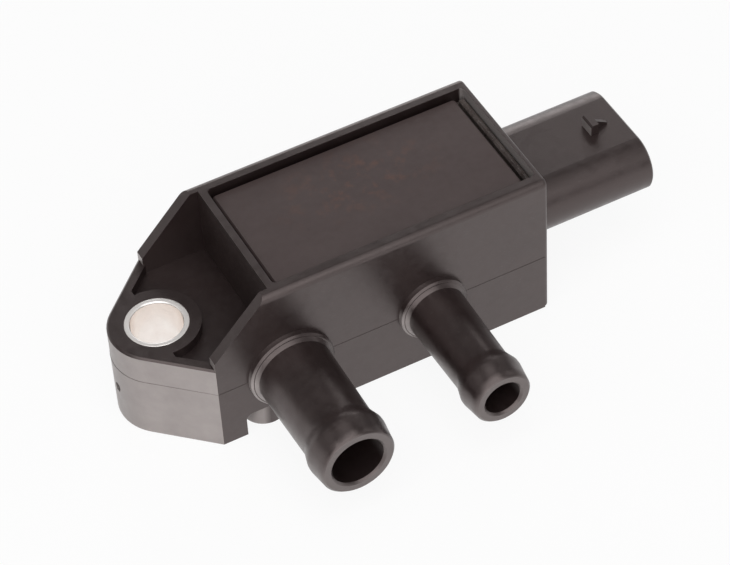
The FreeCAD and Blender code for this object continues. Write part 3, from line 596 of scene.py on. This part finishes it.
class Shop:
    """Makes mesh pieces, dresses them and sets them in the frame."""

    def __init__(self, palette: Palette) -> None:
        """Keep the palette of finishes."""
        self.palette = palette

    def dress(self, node: str, finish: Finish) -> bpy.types.Object:
        """Give a CAD node its finish.

        Args:
            node: Name of the node.
            finish: Its finish.

        Returns:
            The node's object.
        """
        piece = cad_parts[node]
        material = self.palette.get(finish)
        for slot in piece.material_slots:
            slot.material = material
        if not piece.material_slots:
            piece.data.materials.append(material)
        LOG.info("dressed %s with %s", node, finish.name)
        return piece

    def piece(self, name: str, build: Callable[[bmesh.types.BMesh], None], finish: Finish, slot: str,
              shade: Shade = Shade.SMOOTH, replaces: Sequence[str] = ()) -> bpy.types.Object:
        """Make one mesh piece and set it on the body.

        Args:
            name: Name of the piece.
            build: Fills the mesh, in metres in the frame.
            finish: Its finish.
            slot: The record's material slot, not used.
            shade: How faces catch light.
            replaces: CAD nodes that it stands for.

        Returns:
            The new object.
        """
        mesh = bpy.data.meshes.new(name)
        work = bmesh.new()
        build(work)
        bmesh.ops.remove_doubles(work, verts=work.verts, dist=1e-7)
        bmesh.ops.recalc_face_normals(work, faces=work.faces)
        for face in work.faces:
            face.smooth = shade is Shade.SMOOTH
        work.to_mesh(mesh)
        work.free()
        made = bpy.data.objects.new(name, mesh)
        bpy.context.scene.collection.objects.link(made)
        mesh.materials.append(self.palette.get(finish))
        if shade is Shade.SMOOTH:
            mesh.set_sharp_from_angle(angle=math.radians(38))
        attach(made, "root")
        if replaces:
            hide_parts(*replaces)
        LOG.info("built %s, %d faces", name, len(mesh.polygons))
        return made


@dataclass
class Housing:
    """The one-piece moulding, carried over from the frame with softened edges.

    Attributes:
        node: Its CAD node.
        edge: Width of the softened edges.
        steps: Facets across a softened edge.
        sharp: Angle in degrees from which an edge is softened.
        weld: Distance in metres under which points are joined first.
    """

    node: str = "housing"
    edge: float = 0.1
    steps: int = 2
    sharp: float = 40.0
    weld: float = 1e-6

    def dress(self, shop: Shop) -> None:
        """Finish the moulding and break its sharp edges.

        Args:
            shop: Where pieces are made.
        """
        piece = shop.dress(self.node, Palette.housing)
        weld = piece.modifiers.new("weld", "WELD")
        weld.merge_threshold = self.weld
        soften = piece.modifiers.new("edges", "BEVEL")
        soften.width = self.edge * MM
        soften.segments = self.steps
        soften.limit_method = "ANGLE"
        soften.angle_limit = math.radians(self.sharp)
        normals = piece.modifiers.new("normals", "WEIGHTED_NORMAL")
        normals.keep_sharp = True
        normals.weight = 100


@dataclass
class GateMark:
    """Torn stub on the flange's round end, where the plastic flowed into the mould.

    Attributes:
        end_radius: Radius of the flange's round end.
        turn: Direction of the mark round that end, in degrees from -X.
        height: Height of its middle.
        radius: Half height of the stub.
        narrow: Its width as a share of its height.
        depth: How far it stands out from its foot.
        sink: How far its foot lies in the moulding.
        ragged: Unevenness of its outline.
        torn: Unevenness of its face.
        rings: Rings of the stub.
        turns: Facets round it.
    """

    end_radius: float = 6.1
    turn: float = 1.0
    height: float = 5.1
    radius: float = 0.8
    narrow: float = 0.75
    depth: float = 0.14
    sink: float = 0.06
    ragged: float = 0.28
    torn: float = 0.5
    rings: int = 5
    turns: int = 24

    def ring(self, share: float) -> list[Vector]:
        """Points of one ring of the stub.

        Args:
            share: Size of the ring as a share of the outermost one.

        Returns:
            The points, in the frame.
        """
        turn = math.radians(self.turn)
        out = Vector((-math.cos(turn), -math.sin(turn), 0.0))
        along = Vector((-out.y, out.x, 0.0))
        up = Vector((0.0, 0.0, 1.0))
        middle = out * (self.end_radius - self.sink) + up * self.height
        points = []
        for step in range(self.turns):
            around = 2 * math.pi * step / self.turns
            cos, sin = math.cos(around), math.sin(around)
            edge = 1.0 + self.ragged * noise.noise(Vector((2 * cos, 2 * sin, share)))
            flat = (along * cos * self.narrow + up * sin) * self.radius * share * edge
            face = 1.0 + self.torn * noise.noise(flat * 5.0 + up * 3.0)
            rise = self.depth * (1.0 - share ** 4) * face
            points.append(middle + flat + out * rise)
        return points

    def fill(self, work: bmesh.types.BMesh) -> None:
        """Join the rings to a closed stub.

        Args:
            work: Mesh to fill, in metres.
        """
        shares = [ring / self.rings for ring in range(1, self.rings + 1)]
        rows = [[work.verts.new(point * MM) for point in self.ring(share)] for share in shares]
        work.faces.new(rows[0])
        for inner, outer in zip(rows, rows[1:]):
            for step in range(self.turns):
                after = (step + 1) % self.turns
                work.faces.new((inner[step], outer[step], outer[after], inner[after]))
        work.faces.new(list(reversed(rows[-1])))

    def build(self, shop: Shop) -> None:
        """Make the stub."""
        shop.piece("gate_mark", self.fill, Palette.stub, "housing_plastic", Shade.FLAT)


@dataclass
class Sleeve:
    """Turned metal sleeve for the screw, with rolled lips.

    Attributes:
        outer: Outer radius.
        bore: Bore radius.
        height: Length of the sleeve.
        outer_lip: Radius of the upper lip on the outside.
        bore_lip: Radius of the upper lip in the bore.
        foot_edge: Bevel at the foot.
        groove_z: Foot of the retention groove.
        groove_width: Width of the groove.
        groove_depth: Depth of the groove.
        turns: Facets round the sleeve.
    """

    outer: float = 4.0
    bore: float = 3.3
    height: float = 13.3
    outer_lip: float = 0.12
    bore_lip: float = 0.22
    foot_edge: float = 0.08
    groove_z: float = 5.2
    groove_width: float = 2.8
    groove_depth: float = 0.25
    turns: int = 160

    def lip(self, middle: float, radius: float, turns: Sequence[float]) -> list[tuple[float, float]]:
        """Part of a rolled lip at the top.

        Args:
            middle: Distance of the lip's middle from the axis.
            radius: Radius of the lip.
            turns: Directions of its points in degrees, from outwards over upwards.

        Returns:
            Radius and height of the points.
        """
        low = self.height - radius
        steps = [math.radians(turn) for turn in turns]
        return [(middle + radius * math.cos(step), low + radius * math.sin(step)) for step in steps]

    def profile(self) -> list[tuple[float, float]]:
        """Closed outline of the sleeve's wall.

        Returns:
            Radius and height of the points.
        """
        groove = self.outer - self.groove_depth
        groove_top = self.groove_z + self.groove_width
        points = [
            (self.bore, 0.0),
            (self.outer - self.foot_edge, 0.0),
            (self.outer, self.foot_edge),
            (self.outer, self.groove_z),
            (groove, self.groove_z + self.groove_depth),
            (groove, groove_top - self.groove_depth),
            (self.outer, groove_top),
            (self.outer, self.height - self.outer_lip),
        ]
        outer_turns = [22.5 * step for step in range(1, 5)]
        bore_turns = [90.0 + 15.0 * step for step in range(7)]
        points += self.lip(self.outer - self.outer_lip, self.outer_lip, outer_turns)
        points += self.lip(self.bore + self.bore_lip, self.bore_lip, bore_turns)
        return points

    def fill(self, work: bmesh.types.BMesh) -> None:
        """Turn the outline round the axis.

        Args:
            work: Mesh to fill, in metres.
        """
        outline = self.profile()
        rings = []
        for step in range(self.turns):
            turn = 2 * math.pi * step / self.turns
            cos, sin = math.cos(turn), math.sin(turn)
            rings.append([work.verts.new((r * cos * MM, r * sin * MM, z * MM)) for r, z in outline])
        for here, there in zip(rings, rings[1:] + rings[:1]):
            for low in range(len(outline)):
                high = (low + 1) % len(outline)
                work.faces.new((here[low], there[low], there[high], here[high]))

    def build(self, shop: Shop) -> None:
        """Make the sleeve."""
        shop.piece("screw_sleeve", self.fill, Palette.sleeve, "sleeve_metal", replaces=["compression_sleeve"])


@dataclass
class Studio:
    """Floor, lamps, surroundings and the camera of the photograph.

    Attributes:
        azimuth: Turn of the camera in degrees.
        elevation: Height of the camera in degrees.
        roll: Tilt of the camera in degrees.
        distance: Distance to the aim point in millimetres.
        aim: Aim point before its slide in the view plane.
        slide: Slide of the aim point to the right and up.
        focal_px: Focal length in pixels of the photograph.
        width_px: Width of the photograph.
        sensor: Width of the camera's sensor.
        clip: Nearest and farthest distance that the camera sees, in metres.
        sweep: Radius and height of the floor's rings, in metres.
        floor_turns: Sides of the floor.
        glow_share: Share of plain white in the floor as the camera and reflections see it.
        sky: Strength of the surroundings.
        lamps: Name, place, aim, width and watts of each lamp.
    """

    azimuth: float = -25.272
    elevation: float = 46.498
    roll: float = -3.807
    distance: float = 380.805
    aim: Point = (22.0, -5.0, 8.0)
    slide: tuple[float, float] = (3.14, 3.436)
    focal_px: float = 3098.985
    width_px: float = 730.0
    sensor: float = 36.0
    clip: tuple[float, float] = (0.01, 20.0)
    sweep: tuple[tuple[float, float], ...] = ((2.4, -0.0001), (2.7, 0.05), (2.9, 0.2), (3.0, 0.6))
    floor_turns: int = 96
    glow_share: float = 0.9
    sky: float = 0.15
    lamps: list[tuple[str, Point, Point, float, float]] = field(default_factory=lambda: [
        ("top_softbox", (25.0, 0.0, 450.0), (25.0, -5.0, 10.0), 300.0, 0.26),
        ("back_softbox", (160.0, 330.0, 150.0), (25.0, -5.0, 10.0), 200.0, 0.23),
        ("back_right_card", (250.0, 210.0, 230.0), (50.0, -5.0, 10.0), 120.0, 0.045),
        ("right_card", (330.0, -60.0, 260.0), (40.0, -5.0, 10.0), 220.0, 0.09),
        ("left_card", (-260.0, 60.0, 260.0), (10.0, -5.0, 10.0), 200.0, 0.04),
        ("front_fill", (-120.0, -300.0, 330.0), (25.0, -5.0, 10.0), 800.0, 2.6),
    ])

    def camera(self) -> None:
        """Make the camera at the photograph's angle."""
        turn, rise, tilt = (math.radians(v) for v in (self.azimuth, self.elevation, self.roll))
        back = Vector((math.sin(turn) * math.cos(rise), -math.cos(turn) * math.cos(rise), math.sin(rise)))
        level = Vector((math.cos(turn), math.sin(turn), 0.0))
        upright = back.cross(level)
        right = level * math.cos(tilt) + upright * math.sin(tilt)
        up = upright * math.cos(tilt) - level * math.sin(tilt)
        target = Vector(self.aim) + right * self.slide[0] + up * self.slide[1]
        place = (target + back * self.distance) * MM
        data = bpy.data.cameras.new("camera")
        data.sensor_width = self.sensor
        data.sensor_fit = "HORIZONTAL"
        data.lens = self.focal_px / self.width_px * self.sensor
        data.clip_start, data.clip_end = self.clip
        made = bpy.data.objects.new("camera", data)
        bpy.context.scene.collection.objects.link(made)
        made.matrix_world = Matrix((
            (right.x, up.x, back.x, place.x),
            (right.y, up.y, back.y, place.y),
            (right.z, up.z, back.z, place.z),
            (0.0, 0.0, 0.0, 1.0),
        ))
        bpy.context.scene.camera = made

    def seen(self, graph: Graph) -> Socket:
        """Factor that is one for camera, glossy and transmission rays.

        Args:
            graph: Graph of the floor's material.

        Returns:
            The factor socket.
        """
        rays = graph.node("LightPath").outputs
        total = rays["Is Camera Ray"]
        for name in ("Is Glossy Ray", "Is Transmission Ray"):
            total = graph.math("MAXIMUM", total, rays[name])
        return total

    def floor_paint(self) -> bpy.types.Material:
        """Matt white paint that glows for what looks at it.

        Returns:
            The new material.
        """
        graph = Graph("floor_paper")
        shader = graph.shader
        shader.inputs["Roughness"].default_value = 0.9
        shader.inputs["Specular IOR Level"].default_value = 0.1
        tone = graph.ramp(graph.noise(0.02, 3.0), ((0.3, (0.88, 0.88, 0.88)), (0.7, (0.9, 0.9, 0.9))))
        graph.link(tone, shader.inputs["Base Color"])
        glow = graph.node("Emission", Strength=1.0)
        blend = graph.node("MixShader")
        graph.link(graph.math("MULTIPLY", self.seen(graph), self.glow_share), blend.inputs[0])
        graph.link(shader.outputs["BSDF"], blend.inputs[1])
        graph.link(glow.outputs["Emission"], blend.inputs[2])
        graph.link(blend.outputs["Shader"], graph.output.inputs["Surface"])
        return graph.material

    def floor(self) -> None:
        """Pale floor that keeps the object's shadow."""
        mesh = bpy.data.meshes.new("floor")
        work = bmesh.new()
        turns = [2 * math.pi * step / self.floor_turns for step in range(self.floor_turns)]
        circle = [(math.cos(turn), math.sin(turn)) for turn in turns]
        rings = [[work.verts.new((r * cos, r * sin, z)) for cos, sin in circle] for r, z in self.sweep]
        work.faces.new(rings[0])
        for inner, outer in zip(rings, rings[1:]):
            for index in range(self.floor_turns):
                after = (index + 1) % self.floor_turns
                work.faces.new((inner[index], outer[index], outer[after], inner[after])).smooth = True
        work.to_mesh(mesh)
        work.free()
        made = bpy.data.objects.new("floor", mesh)
        bpy.context.scene.collection.objects.link(made)
        mesh.materials.append(self.floor_paint())

    def world(self) -> None:
        """Even pale surroundings."""
        world = bpy.data.worlds.new("surroundings")
        bpy.context.scene.world = world
        world.use_nodes = True
        light = next(n for n in world.node_tree.nodes if n.type == "BACKGROUND")
        light.inputs["Color"].default_value = (1.0, 1.0, 1.0, 1.0)
        light.inputs["Strength"].default_value = self.sky

    def light(self) -> None:
        """Soft lamps round the object."""
        for name, place, aim, size, power in self.lamps:
            data = bpy.data.lights.new(name, "AREA")
            data.shape = "DISK"
            data.size = size * MM
            data.energy = power
            made = bpy.data.objects.new(name, data)
            bpy.context.scene.collection.objects.link(made)
            made.location = Vector(place) * MM
            made.rotation_euler = (Vector(aim) - Vector(place)).to_track_quat("-Z", "Y").to_euler()
            made.visible_camera = False

    def build(self) -> None:
        """Set up everything round the object."""
        self.floor()
        self.world()
        self.light()
        self.camera()
        bpy.context.scene.view_settings.view_transform = "Standard"


@dataclass
class Inside:
    """Lid, adhesive and what the chamber and the socket hold, all in their CAD shape.

    Attributes:
        finishes: Finish of each node.
    """

    finishes: dict[str, Finish] = field(default_factory=lambda: {
        "cover_lid": Palette.lid,
        "lid_adhesive": Palette.adhesive,
        "circuit_board": Palette.board,
        "board_adhesive": Palette.adhesive,
        "printed_conductors": Palette.conductor,
        "glass_pedestal": Palette.glass,
        "sensing_die": Palette.silicon,
        "die_bond_wires": Palette.gold,
        "gel_dam": Palette.dam,
        "protective_gel": Palette.gel,
        "terminal_bond_wires": Palette.wire,
        "signal_chip": Palette.chip,
        "chip_leads": Palette.lead,
        **{f"capacitor_{end}": Palette.capacitor for end in ("supply", "signal", "ground", "chip")},
        **{f"resistor_{end}": Palette.resistor for end in ("bridge", "output")},
        **{f"terminal_{end}": Palette.terminal for end in ("supply", "signal", "ground")},
    })

    def dress(self, shop: Shop) -> None:
        """Finish each node."""
        for node, finish in self.finishes.items():
            shop.dress(node, finish)


def main() -> None:
    """Build the sensor and its studio."""
    logging.basicConfig(level=logging.INFO, format="%(name)s: %(message)s")
    shop = Shop(Palette())
    Housing().dress(shop)
    GateMark().build(shop)
    Sleeve().build(shop)
    Inside().dress(shop)
    Studio().build()


if __name__ == "__main__":
    main()
